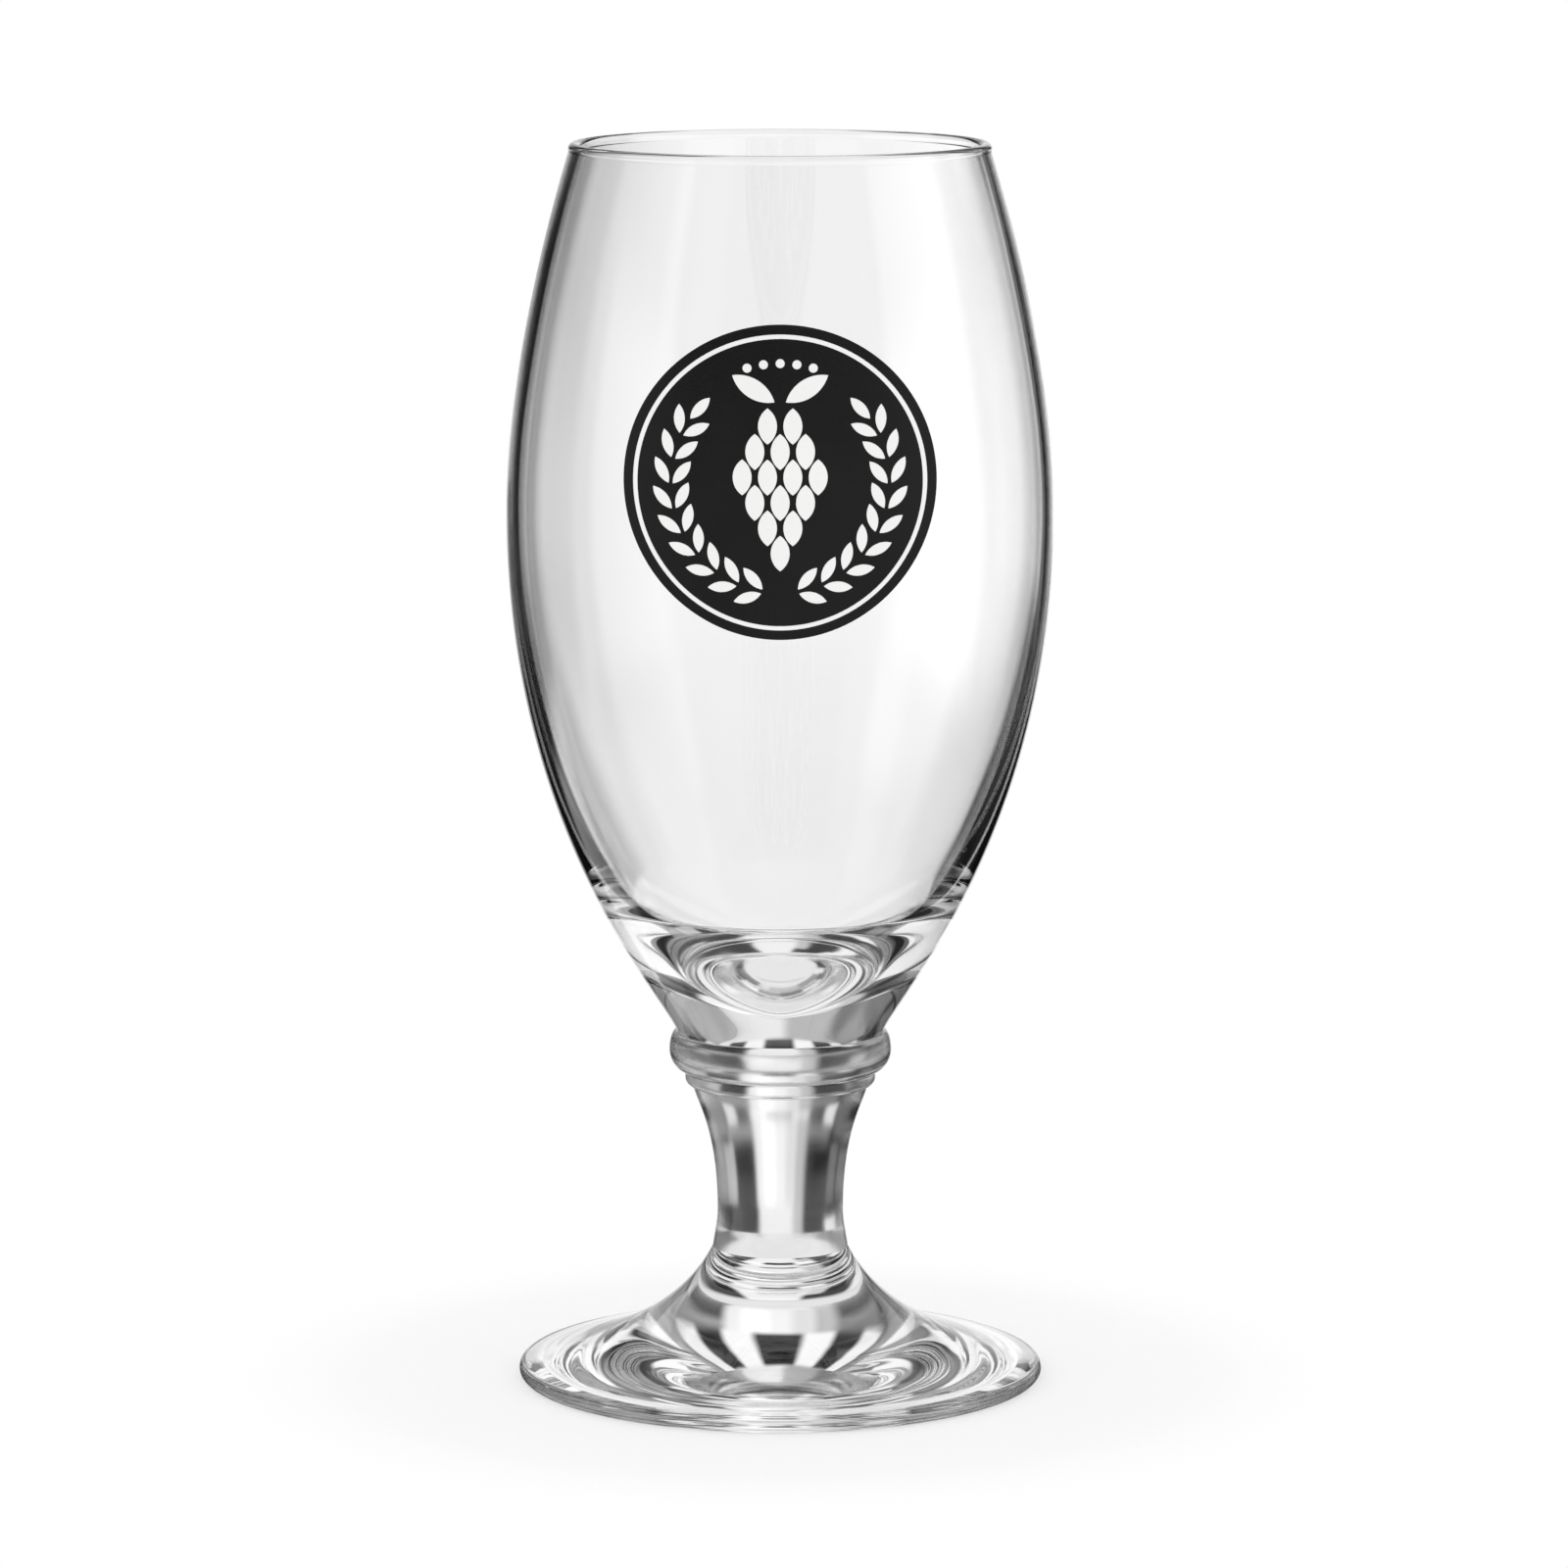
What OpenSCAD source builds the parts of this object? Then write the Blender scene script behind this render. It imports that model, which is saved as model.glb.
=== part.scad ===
// Stemmed tulip beer glass in millimetres.
// The table is z = 0, the glass stands on the Z axis and its printed badge faces -Y.

/* [Bowl] */
// Height of the bowl, from its weld on the collar to the top of the rim
bowl_h = 121; // [114:0.5:130]
// Height of the widest point above the weld
belly_rise = 71; // [66:0.5:75]
// Outside diameter at the widest point
belly_d = 74; // [70:0.5:78]
// Outside diameter over the bead of the rim
rim_d = 57; // [53:0.2:62]
// Diameter of the weld between bowl and collar
neck_d = 28.2; // [26:0.1:29.6]
// Thickness of the bowl's wall, measured level
wall_t = 1.6; // [1.2:0.1:2.4]
// How far the bead stands out of the wall, inside and outside
bead_proud = 0.05; // [0.05:0.05:0.4]
// Thickness of the solid glass under the cavity
base_t = 6.5; // [5:0.5:9]

/* [Bowl curve] */
// Lean of the wall under the rim, from upright
rim_lean = 17; // [12:1:22]
// Lean of the wall at the weld, from upright
neck_lean = 22; // [15:1:32]
// Pull of the curve upwards from the widest point
shoulder_pull = 18.5; // [12:0.5:24]
// Pull of the curve downwards from the rim
rim_pull = 8; // [4:0.5:12]
// Pull of the curve downwards from the widest point
flank_pull = 43.5; // [34:0.5:48]
// Pull of the curve upwards from the weld
neck_pull = 5.3; // [3:0.1:9]
// Height above the weld at which the wall thickens into the solid base
heel_rise = 18.5; // [16:0.5:21]
// Thickness of the wall at that height, measured level
heel_t = 3.9; // [3:0.1:5]
// Lean of the cavity's side at that height, from upright
heel_lean = 38; // [34:1:42]
// Pull of the cavity's curve downwards from the widest point
cavity_pull = 30; // [26:0.5:34]
// Pull of the cavity's curve upwards from the thickening
heel_up_pull = 3; // [2:0.5:6]
// Pull of the cavity's curve downwards from the thickening
heel_down_pull = 5; // [3:0.5:6]
// Pull of the cavity's curve outwards from the middle of its floor
floor_pull = 4; // [2:0.5:12]

/* [Collar] */
// Height of the collar, between its two welds
collar_h = 7.5; // [6:0.1:10]
// Outside diameter of the collar's ring
ring_d = 30.3; // [29.8:0.1:34]
// Depth of the ring's widest point below the upper weld
ring_drop = 2.6; // [1.6:0.1:3]
// Height of the small ridge under the ring
ridge_h = 2; // [1.2:0.1:2.4]
// Outside diameter of the ridge
ridge_d = 26; // [25.6:0.1:27]
// Depth of the crease between ring and ridge
crease = 0.25; // [0.1:0.05:0.5]

/* [Stem] */
// Height of the stem, between its two welds
stem_h = 22.5; // [18:0.5:60]
// Diameter of the weld between collar and stem
stem_top_d = 24; // [22:0.1:25.4]
// Diameter of the stem at its waist
waist_d = 17.2; // [12:0.1:18.2]
// Height of the waist above the lower weld
waist_rise = 5; // [3.5:0.1:8]
// Diameter of the weld between stem and foot
root_d = 18.5; // [17.6:0.1:22]
// Lean of the stem's side under the collar, from upright
stem_lean = 14; // [8:1:40]
// Pull of the stem's curve downwards from the collar
stem_pull = 2.8; // [1:0.1:5]
// Pull of the stem's curve upwards from the waist
waist_pull = 11; // [6:0.5:12]
// Lean of the stem's side at the lower weld, from upright
root_lean = 8; // [3:1:20]
// Pull of the stem's curve between the waist and the lower weld
root_pull = 1.6; // [0.5:0.1:1.7]

/* [Foot] */
// Height of the foot, from the table to its weld on the stem
foot_h = 18; // [14:0.5:24]
// Outside diameter of the foot
foot_d = 71.8; // [64:0.2:80]
// Thickness of the foot's round edge
foot_edge_t = 2.2; // [1.8:0.1:3.6]
// Breadth of the flat ring that stands on the table
stand_w = 2.6; // [1.5:0.1:5]
// Height of the shallow hollow under the foot
kick_h = 0.8; // [0.4:0.1:2]
// Breadth of the slope around the hollow
kick_w = 8; // [4:0.5:12]
// Lean of the flare under the stem, from upright
flare_lean = 26; // [15:1:35]
// Pull of the flare downwards from the stem
flare_pull = 3; // [1.5:0.5:6]
// Pull of the foot's upper side inwards from the edge
tread_pull = 19; // [12:0.5:22]
// Slope of the foot's upper side at the edge
tread_slope = 11; // [6:0.5:16]

/* [Badge] */
// Diameter of the printed badge
badge_d = 41; // [34:0.5:46]
// Height of the badge's centre above the bowl's weld
badge_rise = 79; // [70:0.5:84]
// Thickness of the fired enamel
enamel_t = 0.12; // [0.06:0.01:0.3]
// Gap between the black and the white enamel
enamel_gap = 0.04; // [0.02:0.01:0.1]
// Breadth of the black border outside the white line
border_w = 1.3; // [0.8:0.1:2.5]
// Breadth of the white line
line_w = 0.5; // [0.3:0.05:0.9]
// Radius of the barley wreath
wreath_r = 14.2; // [13.6:0.1:14.8]
// Number of grain pairs in each barley ear
grain_pairs = 9; // [4:1:10]
// Length of a barley grain
grain_l = 3.7; // [2.6:0.1:4]
// Breadth of a barley grain
grain_w = 1.35; // [0.8:0.05:1.5]
// Length of a scale of the hop cone
scale_l = 4.6; // [3:0.1:4.8]
// Breadth of a scale of the hop cone
scale_w = 2.4; // [1.6:0.1:2.5]
// Diameter of a dot over the hop cone
dot_d = 1.1; // [0.6:0.1:1.6]

/* [Hidden] */
$fn = 96;
CURVE_STEPS = 22;
BEND_STEPS = 10;
GLASS = [0.86, 0.9, 0.92, 0.5];
ENAMEL_BLACK = [0.04, 0.04, 0.045];
ENAMEL_WHITE = [0.97, 0.97, 0.96];

// The welds from the table upwards
root_z = foot_h;
stem_top_z = root_z + stem_h;
neck_z = stem_top_z + collar_h;
rim_z = neck_z + bowl_h;

// A cubic curve from four points, without its first point where it goes on from another
function curve(p, steps, from = 0) = [
    for (i = [from:steps])
        let (t = i / steps, s = 1 - t)
        s * s * s * p[0] + 3 * s * s * t * p[1] + 3 * s * t * t * p[2] + t * t * t * p[3]
];
// A quarter of an ellipse from side point a to top point b, bulging away from the axis at a
QUARTER = 0.5523;
function quarter(a, b) = [a, [a.x, a.y + QUARTER * (b.y - a.y)], [b.x + QUARTER * (a.x - b.x), b.y], b];
// A point moved by a length along a lean from upright
function lean(p, length, angle) = [p.x + length * tan(angle), p.y + length];
function flip(p) = [p[3], p[2], p[1], p[0]];

// Bowl: outer side from weld to rim, bead, then the cavity down to its floor
belly_z = neck_z + belly_rise;
bead_r = wall_t / 2 + bead_proud;
bead_c = [rim_d / 2 - bead_r, rim_z - bead_r];
bead_turn = acos(wall_t / 2 / bead_r);
brim = bead_c + bead_r * [cos(bead_turn), -sin(bead_turn)];
belly = [belly_d / 2, belly_z];
neck = [neck_d / 2, neck_z];
inward = [-wall_t, 0];
flank_curve = [neck, lean(neck, neck_pull, neck_lean), belly - [0, flank_pull], belly];
shoulder_curve = [belly, belly + [0, shoulder_pull], lean(brim, -rim_pull, -rim_lean), brim];
bowl_side = concat(curve(flank_curve, CURVE_STEPS), curve(shoulder_curve, CURVE_STEPS, 1));
floor_z = neck_z + base_t;
heel_z = neck_z + heel_rise;
heel = [lookup(heel_z, [for (p = bowl_side) [p.y, p.x]]) - heel_t, heel_z];
cavity_curve = [
    belly + inward, belly + inward - [0, cavity_pull], lean(heel, heel_up_pull, heel_lean), heel
];
base_curve = [heel, lean(heel, -heel_down_pull, heel_lean), [floor_pull, floor_z], [0, floor_z]];
bead_arc = [
    for (i = [1:BEND_STEPS - 1])
        let (a = -bead_turn + i * (180 + 2 * bead_turn) / BEND_STEPS)
        bead_c + bead_r * [cos(a), sin(a)]
];

module bowl() {
    shoulder_inside = [for (p = flip(shoulder_curve)) p + inward];
    color(GLASS)
        rotate_extrude()
            polygon(concat(
                [[0, neck_z]], bowl_side, bead_arc,
                curve(shoulder_inside, CURVE_STEPS), curve(cavity_curve, CURVE_STEPS, 1),
                curve(base_curve, CURVE_STEPS, 1)
            ));
}

// Collar: a ring with a small ridge under it
ring_z = neck_z - ring_drop;
ridge_top_z = stem_top_z + ridge_h;
ridge_z = stem_top_z + ridge_h / 2;
stem_top = [stem_top_d / 2, stem_top_z];
crease_p = [ridge_d / 2 - crease, ridge_top_z];

module collar() {
    ridge_p = [ridge_d / 2, ridge_z];
    ring_p = [ring_d / 2, ring_z];
    color(GLASS)
        rotate_extrude()
            polygon(concat(
                [[0, stem_top_z]],
                curve(flip(quarter(ridge_p, stem_top)), BEND_STEPS),
                curve(quarter(ridge_p, crease_p), BEND_STEPS, 1),
                curve(flip(quarter(ring_p, crease_p)), BEND_STEPS, 1),
                curve(quarter(ring_p, neck), BEND_STEPS, 1),
                [[0, neck_z]]
            ));
}

// Stem: solid, drawn in to a waist near the foot
waist = [waist_d / 2, root_z + waist_rise];
root = [root_d / 2, root_z];

module stem() {
    lower_curve = [root, lean(root, root_pull, -root_lean), waist - [0, root_pull], waist];
    upper_curve = [waist, waist + [0, waist_pull], lean(stem_top, -stem_pull, stem_lean), stem_top];
    color(GLASS)
        rotate_extrude()
            polygon(concat(
                [[0, root_z]],
                curve(lower_curve, BEND_STEPS), curve(upper_curve, CURVE_STEPS, 1),
                [[0, stem_top_z]]
            ));
}

// Foot: flares from the stem to a round edge, stands on a flat ring and is slightly hollow underneath
edge_r = foot_edge_t / 2;
edge_c = [foot_d / 2 - edge_r, edge_r];
kick_r = edge_c.x - stand_w;
KICK_TURN = 0.4;

module foot() {
    tread = [edge_c.x, foot_edge_t];
    edge_arc = [
        for (i = [1:BEND_STEPS])
            let (a = 90 - i * 180 / BEND_STEPS)
            edge_c + edge_r * [cos(a), sin(a)]
    ];
    flare_curve = [
        root, lean(root, -flare_pull, -flare_lean),
        tread + tread_pull * [-1, tan(tread_slope)], tread
    ];
    kick_curve = [
        [kick_r, 0], [kick_r - kick_w * KICK_TURN, kick_h], [kick_r - kick_w, kick_h], [0, kick_h]
    ];
    color(GLASS)
        rotate_extrude()
            polygon(concat(
                [[0, root_z]], curve(flare_curve, CURVE_STEPS), edge_arc,
                curve(kick_curve, CURVE_STEPS)
            ));
}

// Badge: flat outlines, carried straight back onto the front of the bowl
badge_z = neck_z + badge_rise;
line_r = badge_d / 2 - border_w;

// A pointed leaf, standing upright on its centre
module leaf(length, breadth) {
    r = (length * length + breadth * breadth) / (4 * breadth);
    intersection() {
        translate([r - breadth / 2, 0]) circle(r);
        translate([breadth / 2 - r, 0]) circle(r);
    }
}

HOP_ROWS = 6;
WIDEST_ROW = 2;
HOP_LEAF_LEAN = 58;
scale_gap = 0.9;
scale_pitch = scale_w + scale_gap;
row_pitch = (scale_l + scale_w) / 2 - 0.2;
hop_top = row_pitch * 2.25;
hop_leaf_l = scale_l * 1.4;
function hop_count(row) = row < WIDEST_ROW ? row + 2 : HOP_ROWS - row;

// Rows of pointed scales that end in one, under two leaves
module hop_cone(grow) {
    for (row = [0:HOP_ROWS - 1])
        for (i = [0:hop_count(row) - 1])
            translate([(i - (hop_count(row) - 1) / 2) * scale_pitch, hop_top - row * row_pitch])
                leaf(scale_l + 2 * grow, scale_w + 2 * grow);
    for (side = [-1, 1])
        translate([0, hop_top + row_pitch * 0.8])
            rotate(side * HOP_LEAF_LEAN)
                translate([0, hop_leaf_l / 2 + scale_gap])
                    leaf(hop_leaf_l + 2 * grow, scale_w + 2 * grow);
}

EAR_START = -74;
GRAIN_SPLAY = 33;
grain_gap = 0.3;
grain_pitch = (grain_w + grain_gap) / sin(GRAIN_SPLAY) * wreath_r / (wreath_r - grain_l * 0.3);
grain_step = grain_pitch / wreath_r * 180 / PI;
grain_out = grain_l / 2 * sin(GRAIN_SPLAY) + grain_gap;

// Pairs of grains along one side of the wreath, with one more at the tip
module barley_ear(grow) {
    for (k = [0:grain_pairs - 1])
        rotate(EAR_START + k * grain_step)
            for (side = [-1, 1])
                translate([wreath_r + side * grain_out, 0])
                    rotate(-side * GRAIN_SPLAY)
                        leaf(grain_l + 2 * grow, grain_w + 2 * grow);
    rotate(EAR_START + (grain_pairs - 0.2) * grain_step)
        translate([wreath_r, 0])
            leaf(grain_l + 2 * grow, grain_w + 2 * grow);
}

DOT_COUNT = 5;
dot_gap = 0.9;
dot_step = (dot_d + dot_gap) / wreath_r * 180 / PI;

// A row of dots between the tips of the ears
module dots(grow) {
    for (i = [0:DOT_COUNT - 1])
        rotate((i - (DOT_COUNT - 1) / 2) * dot_step)
            translate([0, wreath_r + grain_out])
                circle(d = dot_d + 2 * grow);
}

module white_outline(grow) {
    difference() {
        circle(line_r + grow);
        circle(line_r - line_w - grow);
    }
    hop_cone(grow);
    barley_ear(grow);
    mirror([1, 0]) barley_ear(grow);
    dots(grow);
}

module black_outline() {
    difference() {
        circle(badge_d / 2);
        white_outline(enamel_gap);
    }
}

// The part of an enamel skin over the bowl's side that lies behind an outline
SKIN_MARGIN = 6;
module printed() {
    low = badge_z - badge_d / 2 - SKIN_MARGIN;
    high = badge_z + badge_d / 2 + SKIN_MARGIN;
    under = [for (p = bowl_side) if (p.y > low && p.y < high) p];
    over = [for (i = [len(under) - 1:-1:0]) under[i] + [enamel_t, 0]];
    intersection() {
        rotate_extrude() polygon(concat(under, over));
        translate([0, 0, badge_z]) rotate([90, 0, 0]) linear_extrude(belly_d) children();
    }
}

module badge_black() {
    color(ENAMEL_BLACK) printed() black_outline();
}

module badge_white() {
    color(ENAMEL_WHITE) printed() white_outline(0);
}

bowl();
collar();
stem();
foot();
badge_black();
badge_white();
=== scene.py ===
"""A stemmed tulip beer glass in clear glass with an enamel badge, in metres around the CAD frame."""

import math

import bmesh
import bpy
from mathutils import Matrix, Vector


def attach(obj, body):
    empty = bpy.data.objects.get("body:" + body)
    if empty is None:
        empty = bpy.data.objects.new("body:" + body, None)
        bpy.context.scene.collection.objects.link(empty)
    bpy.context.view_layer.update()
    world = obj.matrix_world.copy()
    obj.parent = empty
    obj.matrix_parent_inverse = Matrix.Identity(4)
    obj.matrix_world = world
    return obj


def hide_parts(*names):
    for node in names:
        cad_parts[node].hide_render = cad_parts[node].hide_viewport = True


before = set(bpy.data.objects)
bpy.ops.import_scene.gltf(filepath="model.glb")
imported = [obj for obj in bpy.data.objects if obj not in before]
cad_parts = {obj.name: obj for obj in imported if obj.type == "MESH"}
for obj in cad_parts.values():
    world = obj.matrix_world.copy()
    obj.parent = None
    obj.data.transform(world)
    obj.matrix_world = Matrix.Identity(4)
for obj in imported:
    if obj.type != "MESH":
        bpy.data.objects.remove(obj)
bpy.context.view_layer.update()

MM = 0.001

# Heights of the welds between the glass pieces and of the rim, from the table upwards
ROOT_Z = 18.0 * MM
STEM_TOP_Z = 40.5 * MM
NECK_Z = 48.0 * MM
RIM_Z = 169.0 * MM

# Bowl: points are (radius, height), leans are from upright, pulls are the reach of curve handles
BELLY = Vector((37.0, 119.0)) * MM
NECK = Vector((14.1, 48.0)) * MM
NECK_LEAN = math.radians(22)
NECK_PULL = 5.3 * MM
FLANK_PULL = 43.5 * MM
SHOULDER_PULL = 18.5 * MM
RIM_PULL = 8.0 * MM
RIM_LEAN = math.radians(17)
RIM_R = 28.5 * MM
WALL = 1.6 * MM
BEAD_R = 0.85 * MM
CAVITY_PULL = 30.0 * MM
HEEL = Vector((21.155, 66.5)) * MM
HEEL_LEAN = math.radians(38)
HEEL_RISE_PULL = 3.0 * MM
HEEL_DROP_PULL = 5.0 * MM
FLOOR_Z = 54.5 * MM
FLOOR_PULL = 4.0 * MM

# Collar
RING = Vector((15.15, 45.4)) * MM
CREASE = Vector((12.75, 42.5)) * MM
RIDGE = Vector((13.0, 41.5)) * MM
STEM_TOP = Vector((12.0, 40.5)) * MM

# Stem
STEM_LEAN = math.radians(14)
STEM_PULL = 2.8 * MM
WAIST = Vector((8.6, 23.0)) * MM
WAIST_PULL = 11.0 * MM
ROOT = Vector((9.25, 18.0)) * MM
ROOT_LEAN = math.radians(8)
ROOT_PULL = 1.6 * MM

# Foot: the kick is the hollow underneath, which turns up within a share of its width
FOOT_R = 35.9 * MM
FOOT_EDGE_R = 1.1 * MM
STAND_W = 2.6 * MM
KICK_H = 0.8 * MM
KICK_W = 8.0 * MM
KICK_TURN = 0.4
FLARE_LEAN = math.radians(26)
FLARE_PULL = 3.0 * MM
TREAD_PULL = 19.0 * MM
TREAD_SLOPE = math.radians(11)

# Mesh fineness, and where a cubic's handles lie along the sides of a quarter ellipse
LONG_STEPS = 56
BEND_STEPS = 16
TURN_STEPS = 192
MERGE = 1e-6
SHARP = math.radians(25)
ROUND_SHARE = 0.5523


def cubic(a, b, c, d, steps):
    """Points along a cubic curve in the (radius, height) plane."""
    points = []
    for i in range(steps + 1):
        t = i / steps
        s = 1 - t
        points.append(a * s**3 + b * 3 * s * s * t + c * 3 * s * t * t + d * t**3)
    return points


def leaned(point, length, angle):
    """The point moved up by a length, leaning out from upright by an angle."""
    return point + Vector((length * math.tan(angle), length))


def quarter(side, end):
    """A quarter of an ellipse from a side point to an upper or lower end point."""
    b = Vector((side.x, side.y + ROUND_SHARE * (end.y - side.y)))
    c = Vector((end.x + ROUND_SHARE * (side.x - end.x), end.y))
    return cubic(side, b, c, end, BEND_STEPS)


def arc(centre, radius, start, end):
    """Points on a circle in the (radius, height) plane."""
    points = []
    for i in range(BEND_STEPS + 1):
        angle = start + (end - start) * i / BEND_STEPS
        points.append(centre + radius * Vector((math.cos(angle), math.sin(angle))))
    return points


def joined(*runs):
    """One chain from several runs of points, without the repeats where they meet."""
    chain = []
    for run in runs:
        for point in run:
            if not chain or (point - chain[-1]).length > MERGE:
                chain.append(point)
    return chain


# Rim: the bead's centre, and the angle and the point where the wall's outside runs into it
BEAD_C = Vector((RIM_R - BEAD_R, RIM_Z - BEAD_R))
BEAD_TURN = math.acos(WALL / 2 / BEAD_R)
BRIM = BEAD_C + BEAD_R * Vector((math.cos(BEAD_TURN), -math.sin(BEAD_TURN)))


def bowl_side():
    """The bowl's outer side, from the weld to the bead."""
    flank = cubic(
        NECK,
        leaned(NECK, NECK_PULL, NECK_LEAN),
        BELLY - Vector((0, FLANK_PULL)),
        BELLY,
        LONG_STEPS,
    )
    shoulder = cubic(
        BELLY,
        BELLY + Vector((0, SHOULDER_PULL)),
        leaned(BRIM, -RIM_PULL, -RIM_LEAN),
        BRIM,
        LONG_STEPS,
    )
    return joined(flank, shoulder)


def bowl_profile():
    """The bowl's shell with its bead and its thick base, from axis to axis."""
    inward = Vector((-WALL, 0))
    bead = arc(BEAD_C, BEAD_R, -BEAD_TURN, math.pi + BEAD_TURN)
    shoulder = cubic(
        BRIM + inward,
        leaned(BRIM, -RIM_PULL, -RIM_LEAN) + inward,
        BELLY + Vector((0, SHOULDER_PULL)) + inward,
        BELLY + inward,
        LONG_STEPS,
    )
    cavity = cubic(
        BELLY + inward,
        BELLY + inward - Vector((0, CAVITY_PULL)),
        leaned(HEEL, HEEL_RISE_PULL, HEEL_LEAN),
        HEEL,
        LONG_STEPS,
    )
    cavity_floor = cubic(
        HEEL,
        leaned(HEEL, -HEEL_DROP_PULL, HEEL_LEAN),
        Vector((FLOOR_PULL, FLOOR_Z)),
        Vector((0, FLOOR_Z)),
        LONG_STEPS,
    )
    return joined([Vector((0, NECK_Z))], bowl_side(), bead, shoulder, cavity, cavity_floor)


def collar_profile():
    """The collar's ring and the small ridge under it, from axis to axis."""
    return joined(
        [Vector((0, STEM_TOP_Z))],
        reversed(quarter(RIDGE, STEM_TOP)),
        quarter(RIDGE, CREASE),
        reversed(quarter(RING, CREASE)),
        quarter(RING, NECK),
        [Vector((0, NECK_Z))],
    )


def stem_profile():
    """The waisted stem, from axis to axis."""
    lower = cubic(
        ROOT,
        leaned(ROOT, ROOT_PULL, -ROOT_LEAN),
        WAIST - Vector((0, ROOT_PULL)),
        WAIST,
        BEND_STEPS,
    )
    upper = cubic(
        WAIST,
        WAIST + Vector((0, WAIST_PULL)),
        leaned(STEM_TOP, -STEM_PULL, STEM_LEAN),
        STEM_TOP,
        LONG_STEPS,
    )
    return joined([Vector((0, ROOT_Z))], lower, upper, [Vector((0, STEM_TOP_Z))])


def foot_profile():
    """The flared foot with its round edge, standing ring and hollow underside, from axis to axis."""
    edge_c = Vector((FOOT_R - FOOT_EDGE_R, FOOT_EDGE_R))
    tread = edge_c + Vector((0, FOOT_EDGE_R))
    flare = cubic(
        ROOT,
        leaned(ROOT, -FLARE_PULL, -FLARE_LEAN),
        tread + TREAD_PULL * Vector((-1, math.tan(TREAD_SLOPE))),
        tread,
        LONG_STEPS,
    )
    edge = arc(edge_c, FOOT_EDGE_R, math.pi / 2, -math.pi / 2)
    kick_r = edge_c.x - STAND_W
    kick = cubic(
        Vector((kick_r, 0)),
        Vector((kick_r - KICK_W * KICK_TURN, KICK_H)),
        Vector((kick_r - KICK_W, KICK_H)),
        Vector((0, KICK_H)),
        LONG_STEPS,
    )
    return joined([Vector((0, ROOT_Z))], flare, edge, kick)


def finished(name, bm, materials):
    """An object at the origin from a bmesh, smooth but for its sharp edges."""
    for face in bm.faces:
        face.smooth = True
    for edge in bm.edges:
        if len(edge.link_faces) == 2 and edge.calc_face_angle() > SHARP:
            edge.smooth = False
    mesh = bpy.data.meshes.new(name)
    bm.to_mesh(mesh)
    bm.free()
    for material in materials:
        mesh.materials.append(material)
    piece = bpy.data.objects.new(name, mesh)
    bpy.context.scene.collection.objects.link(piece)
    return piece


def spun(name, profile, materials, weld_heights):
    """A closed round piece from a profile that runs from axis to axis; its welds take material 1."""
    bm = bmesh.new()
    verts = [bm.verts.new((point.x, 0, point.y)) for point in profile]
    edges = [bm.edges.new(pair) for pair in zip(verts, verts[1:])]
    bmesh.ops.spin(
        bm,
        geom=verts + edges,
        cent=(0, 0, 0),
        axis=(0, 0, 1),
        angle=math.tau,
        steps=TURN_STEPS,
        use_merge=True,
    )
    bmesh.ops.remove_doubles(bm, verts=bm.verts, dist=MERGE)
    bmesh.ops.recalc_face_normals(bm, faces=bm.faces)
    for face in bm.faces:
        for height in weld_heights:
            if all(abs(vert.co.z - height) < MERGE for vert in face.verts):
                face.material_index = 1
    return finished(name, bm, materials)


# Nodes


def linked(tree, value, socket):
    """Sets a socket to a plain value, or links it."""
    if isinstance(value, bpy.types.NodeSocket):
        tree.links.new(value, socket)
    else:
        socket.default_value = value


def math_node(tree, operation, *values):
    """A Math node, by its operation."""
    node = tree.nodes.new("ShaderNodeMath")
    node.operation = operation
    for value, socket in zip(values, node.inputs):
        linked(tree, value, socket)
    return node.outputs[0]


def ramp_node(tree, value, low, high, at_low=0.0, at_high=1.0):
    """A smooth step of a value from low to high."""
    node = tree.nodes.new("ShaderNodeMapRange")
    node.interpolation_type = "SMOOTHSTEP"
    linked(tree, value, node.inputs["Value"])
    linked(tree, low, node.inputs["From Min"])
    linked(tree, high, node.inputs["From Max"])
    linked(tree, at_low, node.inputs["To Min"])
    linked(tree, at_high, node.inputs["To Max"])
    return node.outputs["Result"]


def bump_node(tree, height, depth):
    """A normal from a height of 0 to 1 times a depth in metres."""
    node = tree.nodes.new("ShaderNodeBump")
    node.inputs["Distance"].default_value = depth
    tree.links.new(height, node.inputs["Height"])
    return node.outputs["Normal"]


def new_material(name):
    """A material with its Principled shader."""
    material = bpy.data.materials.new(name)
    material.use_nodes = True
    return material, material.node_tree.nodes["Principled BSDF"]


# Waves and specks in a fired surface, and the range in which most of their noise lies
WAVE_SCALE = 70.0
WAVE_STRETCH = 0.4
WAVE_DETAIL = 1.5
SPECK_SCALE = 900.0
SPECK_DETAIL = 3.0
NOISE_LOW = 0.3
NOISE_HIGH = 0.7

# Glass finishes: wave scale, stretch of the waves, least and most haze, depth of the waves
GLASS_IOR = 1.52
GLASS_COLOUR = (1, 1, 1, 1)
BLOWN = (60.0, 0.45, 0.0, 0.02, 0.04 * MM)
DRAWN = (90.0, 0.5, 0.14, 0.2, 0.05 * MM)
PRESSED = (80.0, 1.0, 0.0, 0.03, 0.06 * MM)

# Enamel finishes: darkest and lightest tone, gloss; and the pebbling that both share
BLACK = ((0.008, 0.008, 0.0085, 1), (0.014, 0.014, 0.0145, 1), 0.12)
WHITE = ((0.88, 0.88, 0.87, 1), (0.95, 0.95, 0.94, 1), 0.5)
ENAMEL_WAVE = 160.0
ENAMEL_STRETCH = 1.0
ENAMEL_SPECK = 2600.0
WAVE_SHARE = 0.5
SPECK_SHARE = 0.5
ENAMEL_SMOOTH = 0.22
ENAMEL_ROUGH = 0.36
ENAMEL_PEBBLE = 0.004 * MM


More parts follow.
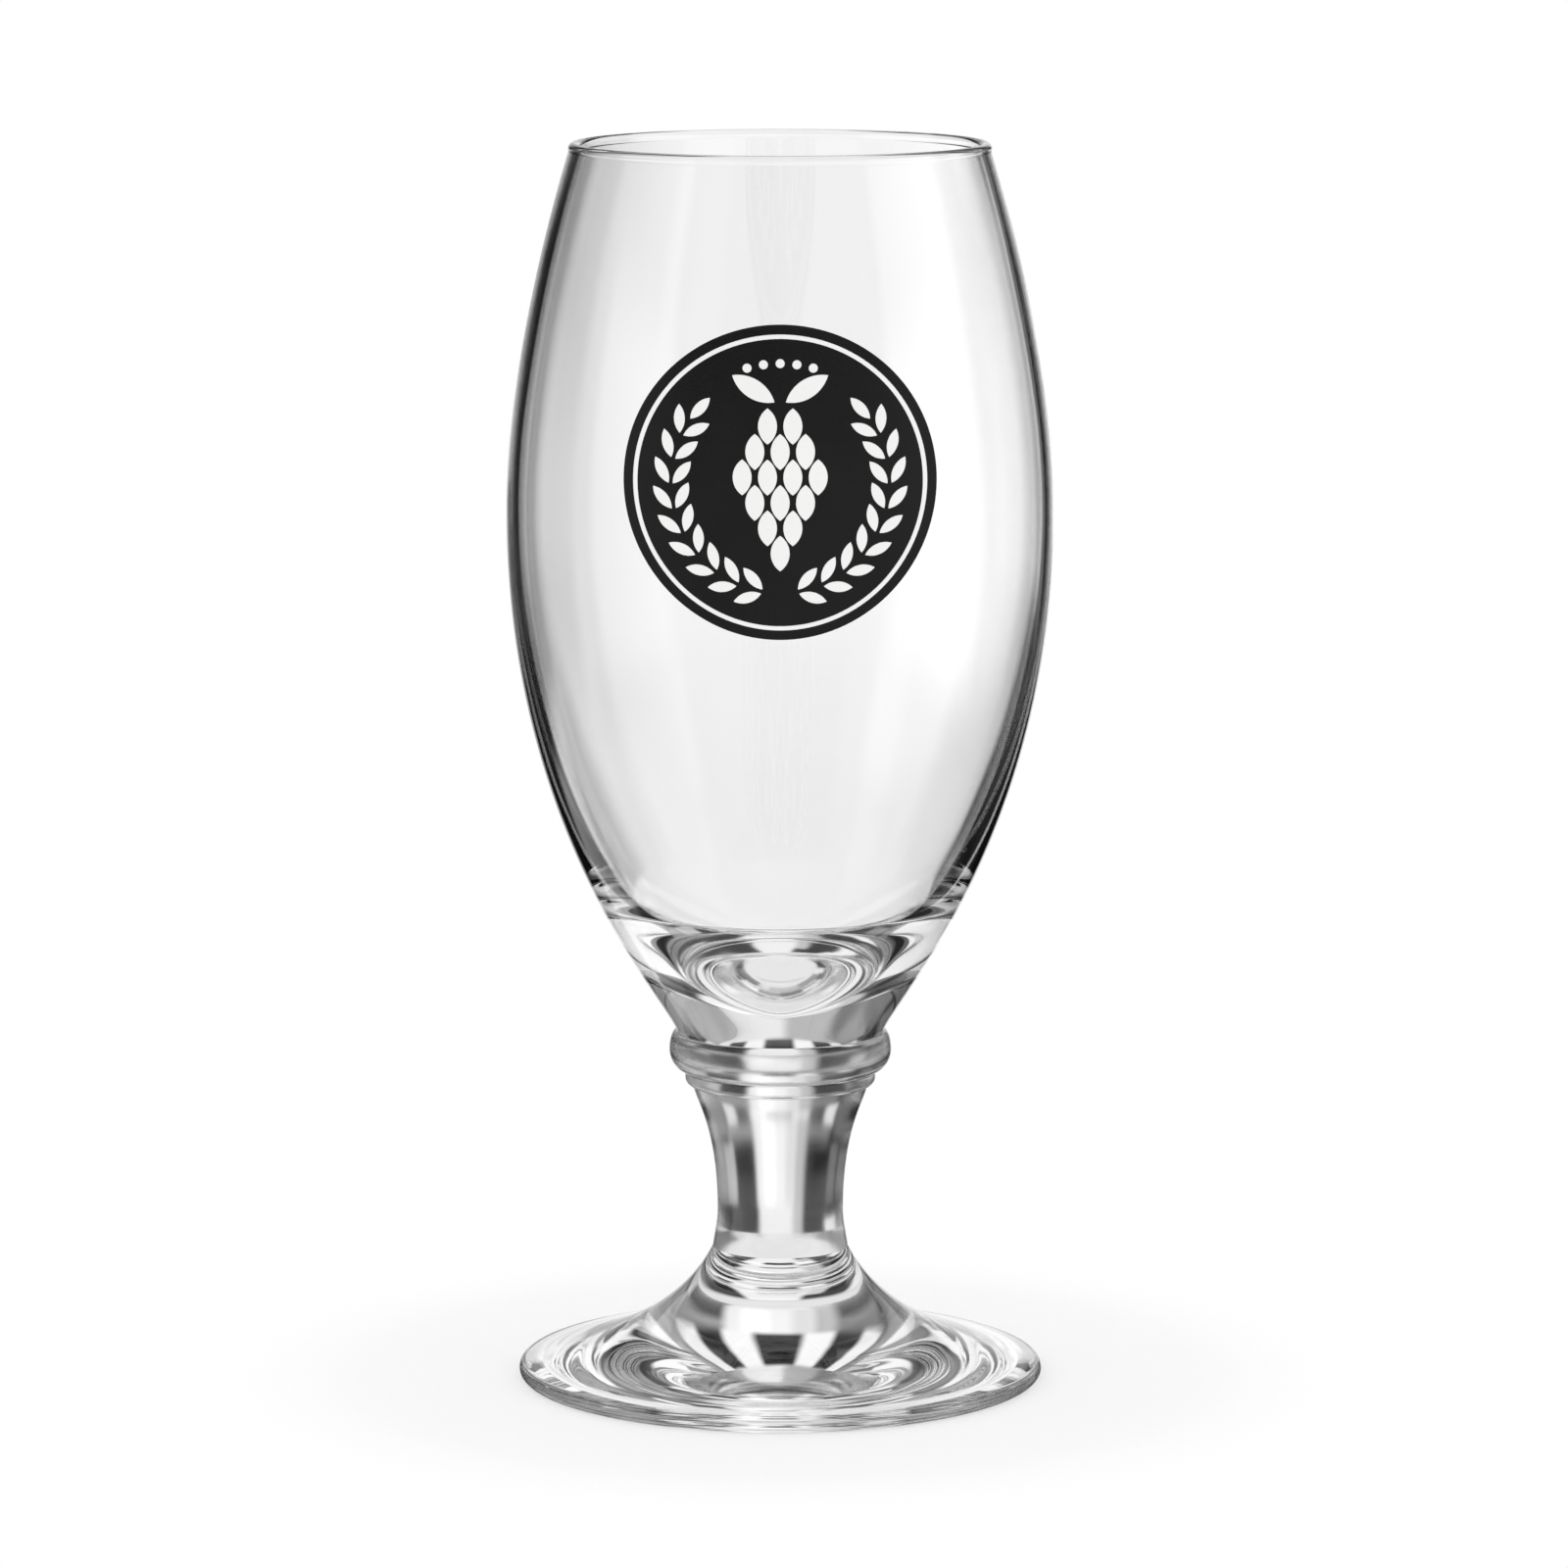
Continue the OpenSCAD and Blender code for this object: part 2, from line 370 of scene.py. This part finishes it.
def surface_wave_group():
    """Soft waves in a fired surface and finer specks over them, both from 0 to 1."""
    group = bpy.data.node_groups.new("surface_wave", "ShaderNodeTree")
    for name, value in (
        ("Scale", WAVE_SCALE),
        ("Stretch", WAVE_STRETCH),
        ("Speck Scale", SPECK_SCALE),
    ):
        socket = group.interface.new_socket(name, in_out="INPUT", socket_type="NodeSocketFloat")
        socket.default_value = value
    for name in ("Wave", "Speck"):
        group.interface.new_socket(name, in_out="OUTPUT", socket_type="NodeSocketFloat")
    given = group.nodes.new("NodeGroupInput")
    result = group.nodes.new("NodeGroupOutput")
    place = group.nodes.new("ShaderNodeTexCoord")
    stretch = group.nodes.new("ShaderNodeCombineXYZ")
    stretch.inputs["X"].default_value = 1.0
    stretch.inputs["Y"].default_value = 1.0
    group.links.new(given.outputs["Stretch"], stretch.inputs["Z"])
    stretched = group.nodes.new("ShaderNodeVectorMath")
    stretched.operation = "MULTIPLY"
    group.links.new(place.outputs["Object"], stretched.inputs[0])
    group.links.new(stretch.outputs[0], stretched.inputs[1])
    wave = group.nodes.new("ShaderNodeTexNoise")
    wave.inputs["Detail"].default_value = WAVE_DETAIL
    group.links.new(stretched.outputs[0], wave.inputs["Vector"])
    group.links.new(given.outputs["Scale"], wave.inputs["Scale"])
    speck = group.nodes.new("ShaderNodeTexNoise")
    speck.inputs["Detail"].default_value = SPECK_DETAIL
    group.links.new(place.outputs["Object"], speck.inputs["Vector"])
    group.links.new(given.outputs["Speck Scale"], speck.inputs["Scale"])
    group.links.new(wave.outputs["Fac"], result.inputs["Wave"])
    group.links.new(speck.outputs["Fac"], result.inputs["Speck"])
    return group


def surface_wave(tree, scale, stretch, speck_scale=SPECK_SCALE):
    """The wave and speck outputs of the shared group, placed in a material."""
    node = tree.nodes.new("ShaderNodeGroup")
    node.node_tree = bpy.data.node_groups.get("surface_wave") or surface_wave_group()
    node.inputs["Scale"].default_value = scale
    node.inputs["Stretch"].default_value = stretch
    node.inputs["Speck Scale"].default_value = speck_scale
    return node.outputs["Wave"], node.outputs["Speck"]


def clear_glass(name, finish):
    """Soda-lime glass with the faint waves of its making and a trace of haze."""
    scale, stretch, least_haze, most_haze, depth = finish
    material, shader = new_material(name)
    tree = material.node_tree
    shader.inputs["Base Color"].default_value = GLASS_COLOUR
    shader.inputs["IOR"].default_value = GLASS_IOR
    shader.inputs["Transmission Weight"].default_value = 1.0
    wave, _ = surface_wave(tree, scale, stretch)
    haze = ramp_node(tree, wave, NOISE_LOW, NOISE_HIGH, least_haze, most_haze)
    tree.links.new(haze, shader.inputs["Roughness"])
    tree.links.new(bump_node(tree, wave, depth), shader.inputs["Normal"])
    return material


def fired_enamel(name, finish):
    """Printed enamel after firing: slightly uneven in tone, with a fine pebbled gloss."""
    dark, light, gloss = finish
    material, shader = new_material(name)
    tree = material.node_tree
    wave, speck = surface_wave(tree, ENAMEL_WAVE, ENAMEL_STRETCH, ENAMEL_SPECK)
    tone = tree.nodes.new("ShaderNodeMix")
    tone.data_type = "RGBA"
    tone.inputs["A"].default_value = dark
    tone.inputs["B"].default_value = light
    lightness = math_node(tree, "MULTIPLY", wave, WAVE_SHARE)
    lightness = math_node(tree, "MULTIPLY_ADD", speck, SPECK_SHARE, lightness)
    tree.links.new(lightness, tone.inputs["Factor"])
    tree.links.new(tone.outputs["Result"], shader.inputs["Base Color"])
    roughness = ramp_node(tree, speck, NOISE_LOW, NOISE_HIGH, ENAMEL_SMOOTH, ENAMEL_ROUGH)
    tree.links.new(roughness, shader.inputs["Roughness"])
    tree.links.new(bump_node(tree, speck, ENAMEL_PEBBLE), shader.inputs["Normal"])
    shader.inputs["Specular IOR Level"].default_value = gloss
    return material


def weld_glass():
    """The unseen face where two glass pieces are fused."""
    material, shader = new_material("weld_glass")
    shader.inputs["Base Color"].default_value = GLASS_COLOUR
    shader.inputs["IOR"].default_value = GLASS_IOR
    shader.inputs["Transmission Weight"].default_value = 1.0
    shader.inputs["Alpha"].default_value = 0.0
    return material


def build_glass():
    """The four glass pieces, which replace the solids they repeat in finer steps."""
    weld = weld_glass()
    blown = clear_glass("blown_glass", BLOWN)
    drawn = clear_glass("drawn_glass", DRAWN)
    pressed = clear_glass("pressed_glass", PRESSED)
    for name, profile, welds, glass in (
        ("bowl", bowl_profile(), (NECK_Z,), blown),
        ("collar", collar_profile(), (NECK_Z, STEM_TOP_Z), drawn),
        ("stem", stem_profile(), (STEM_TOP_Z, ROOT_Z), drawn),
        ("foot", foot_profile(), (ROOT_Z,), pressed),
    ):
        piece = spun("glass_" + name, profile, [glass, weld], welds)
        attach(piece, "root")
        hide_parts(name)


def build_badge():
    """The printed badge keeps its solids and takes the finish of fired enamel."""
    black = fired_enamel("black_enamel", BLACK)
    white = fired_enamel("white_enamel", WHITE)
    for name, material in (("badge_black", black), ("badge_white", white)):
        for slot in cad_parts[name].material_slots:
            slot.material = material


# Studio

CAMERA_AT = (0.0005, -0.9906, 0.2340)
CAMERA_DOWN = math.radians(8.73)
CAMERA_LENS = 169.3
CAMERA_SENSOR = 36.0

# Floor: the shadow is strongest within one radius and gone at the next; a share of it is lifted to white
FLOOR_R = 0.5
FLOOR_SIDES = 96
FLOOR_COLOUR = (0.98, 0.98, 0.98, 1)
SHADOW_R = 0.04
SHADOW_END_R = 0.08
SHADOW_LIFT = 0.4

# Light crosses many faces of clear glass
GLASS_BOUNCES = 32
GLOSS_BOUNCES = 16

# The studio's level between its panels, and a diffuse depth between none and one
DARK = 0.012
BEFORE_DIFFUSE = 0.5

# Soft panels, in degrees: from and to azimuth and the softness of those ends, lowest and highest
# elevation and the softness of those ends; and last the panel's level
PANELS = (
    # behind the glass
    (75, 80, 2, -11, 14, 2, 0.92),
    (80, 87, 2, -11, 14, 2, 1.14),
    (87, 93, 2, -11, 14, 2, 0.95),
    (93, 99, 2, -11, 14, 2, 0.76),
    (99, 105, 2.5, -11, 14, 2, 0.52),
    (54, 75, 2, 6, 14, 4, 0.32),
    (105, 122, 3, 6, 14, 4, 0.22),
    (46, 58, 1.5, -11, 6, 2, 0.5),
    (14, 46, 3, -11, 8, 3, 0.35),
    (50, 63, 2, -25, -11, 2, 0.03),
    (126, 137, 2, -11, 6, 2, 0.18),
    (140, 172, 3, -9, 6, 3, 0.2),
    # the table behind
    (76, 98, 2, -48, -11, 2, 0.9),
    (98, 105, 2, -36, -11, 2, 0.55),
    # lamps above the back
    (74, 83, 1.5, 14, 37, 2, 1.0),
    (96, 105, 1.5, 14, 37, 2, 1.0),
    (56, 65, 1.5, 14, 37, 2, 0.9),
    (115, 124, 1.5, 14, 37, 2, 0.9),
    (56, 92, 3, 37, 65, 2, 0.9),
    (92, 124, 3, 37, 65, 2, 0.45),
    # to the right, and to the right of the camera
    (-40, 5, 4, -22, 34, 4, 1.05),
    (-90, -40, 6, -22, 10, 4, 0.8),
    (-90, -40, 6, 10, 45, 4, 0.3),
    (-40, 56, 6, 34, 65, 4, 0.45),
    (24, 54, 4, 10, 34, 3, 0.3),
    # to the left, and to the left of the camera
    (172, 220, 4, -22, 30, 4, 0.95),
    (220, 270, 6, -22, 10, 4, 0.6),
    (220, 270, 6, 10, 45, 4, 0.1),
    (124, 220, 6, 30, 65, 4, 0.2),
    (126, 156, 4, 10, 30, 3, 0.15),
    # low windows, which stand behind the glass when it is seen from another side
    (126, 146, 3, -34, -19, 2, 0.95),
    (122, 150, 4, -48, -34, 3, 0.9),
    (-60, -40, 4, -48, -22, 4, 0.8),
    (-40, -28, 4, -48, -22, 4, 0.5),
    # overhead, and the table close to the foot
    (-90, 270, 0, 65, 95, 4, 0.5),
    (-90, 270, 0, -95, -48, 4, 0.8),
    (-40, 56, 5, -48, -30, 4, 0.2),
    (150, 220, 5, -48, -24, 4, 0.3),
    (220, 300, 5, -48, -22, 4, 0.55),
)
FULL_TURN = 360


def build_camera():
    """The camera at the photograph's height, tilt and lens."""
    data = bpy.data.cameras.new("camera")
    data.lens = CAMERA_LENS
    data.sensor_width = CAMERA_SENSOR
    camera = bpy.data.objects.new("camera", data)
    camera.location = CAMERA_AT
    camera.rotation_euler = (math.pi / 2 - CAMERA_DOWN, 0, 0)
    bpy.context.scene.collection.objects.link(camera)
    bpy.context.scene.camera = camera


def pale_floor():
    """A pale floor that keeps the shadow near the foot and is white to the camera further out."""
    material = bpy.data.materials.new("pale_floor")
    material.use_nodes = True
    tree = material.node_tree
    tree.nodes.clear()
    out = tree.nodes.new("ShaderNodeOutputMaterial")
    diffuse = tree.nodes.new("ShaderNodeBsdfDiffuse")
    diffuse.inputs["Color"].default_value = FLOOR_COLOUR
    glow = tree.nodes.new("ShaderNodeEmission")
    mix = tree.nodes.new("ShaderNodeMixShader")
    place = tree.nodes.new("ShaderNodeTexCoord")
    length = tree.nodes.new("ShaderNodeVectorMath")
    length.operation = "LENGTH"
    tree.links.new(place.outputs["Object"], length.inputs[0])
    far = ramp_node(tree, length.outputs["Value"], SHADOW_R, SHADOW_END_R)
    path = tree.nodes.new("ShaderNodeLightPath")
    lifted = math_node(tree, "MAXIMUM", far, SHADOW_LIFT)
    share = math_node(tree, "MULTIPLY", lifted, path.outputs["Is Camera Ray"])
    tree.links.new(share, mix.inputs[0])
    tree.links.new(diffuse.outputs[0], mix.inputs[1])
    tree.links.new(glow.outputs[0], mix.inputs[2])
    tree.links.new(mix.outputs[0], out.inputs["Surface"])
    return material


def build_floor():
    """The floor disc, which the glass doesn't see: it sees the panels instead."""
    bm = bmesh.new()
    bmesh.ops.create_circle(bm, cap_ends=True, radius=FLOOR_R, segments=FLOOR_SIDES)
    floor = finished("floor", bm, [pale_floor()])
    floor.visible_transmission = False
    floor.visible_glossy = False


def away_mask(tree, azimuth, centre, half, soft):
    """1 within half an angle of an azimuth, 0 outside it, in degrees."""
    away = math_node(tree, "SUBTRACT", azimuth, math.radians(centre))
    away = math_node(tree, "WRAP", away, math.pi, -math.pi)
    away = math_node(tree, "ABSOLUTE", away)
    return ramp_node(tree, away, math.radians(half - soft), math.radians(half + soft), 1.0, 0.0)


def height_mask(tree, elevation, low, high, soft):
    """1 between two elevations, 0 outside them, in degrees."""
    over = ramp_node(tree, elevation, math.radians(low - soft), math.radians(low + soft))
    under = ramp_node(tree, elevation, math.radians(high - soft), math.radians(high + soft), 1.0, 0.0)
    return math_node(tree, "MULTIPLY", over, under)


def panel_light(tree):
    """The level of the panels in each direction."""
    place = tree.nodes.new("ShaderNodeTexCoord")
    split = tree.nodes.new("ShaderNodeSeparateXYZ")
    tree.links.new(place.outputs["Generated"], split.inputs[0])
    azimuth = math_node(tree, "ARCTAN2", split.outputs["Y"], split.outputs["X"])
    elevation = math_node(tree, "ARCSINE", split.outputs["Z"])
    light = DARK
    for start, end, soft, low, high, end_soft, level in PANELS:
        mask = height_mask(tree, elevation, low, high, end_soft)
        if end - start < FULL_TURN:
            across = away_mask(tree, azimuth, (start + end) / 2, (end - start) / 2, soft)
            mask = math_node(tree, "MULTIPLY", mask, across)
        light = math_node(tree, "MULTIPLY_ADD", mask, level, light)
    return light


def build_world():
    """Plain white for the camera and for diffuse light, and the panels for glass and gloss."""
    world = bpy.data.worlds.new("studio")
    world.use_nodes = True
    bpy.context.scene.world = world
    tree = world.node_tree
    tree.nodes.clear()
    out = tree.nodes.new("ShaderNodeOutputWorld")
    back = tree.nodes.new("ShaderNodeBackground")
    back.inputs["Color"].default_value = (1, 1, 1, 1)
    tree.links.new(back.outputs[0], out.inputs["Surface"])
    light = panel_light(tree)
    path = tree.nodes.new("ShaderNodeLightPath")
    seen = math_node(tree, "MAXIMUM", path.outputs["Is Transmission Ray"], path.outputs["Is Glossy Ray"])
    not_camera = math_node(tree, "SUBTRACT", 1.0, path.outputs["Is Camera Ray"])
    seen = math_node(tree, "MULTIPLY", seen, not_camera)
    not_diffuse = math_node(tree, "LESS_THAN", path.outputs["Diffuse Depth"], BEFORE_DIFFUSE)
    seen = math_node(tree, "MULTIPLY", seen, not_diffuse)
    past_white = math_node(tree, "SUBTRACT", light, 1.0)
    strength = math_node(tree, "MULTIPLY_ADD", past_white, seen, 1.0)
    tree.links.new(strength, back.inputs["Strength"])
    world.cycles.sampling_method = "NONE"


build_camera()
build_glass()
build_badge()
build_floor()
build_world()

scene = bpy.context.scene
scene.view_settings.view_transform = "Standard"
scene.cycles.max_bounces = GLASS_BOUNCES
scene.cycles.transmission_bounces = GLASS_BOUNCES
scene.cycles.glossy_bounces = GLOSS_BOUNCES
scene.cycles.transparent_max_bounces = GLASS_BOUNCES
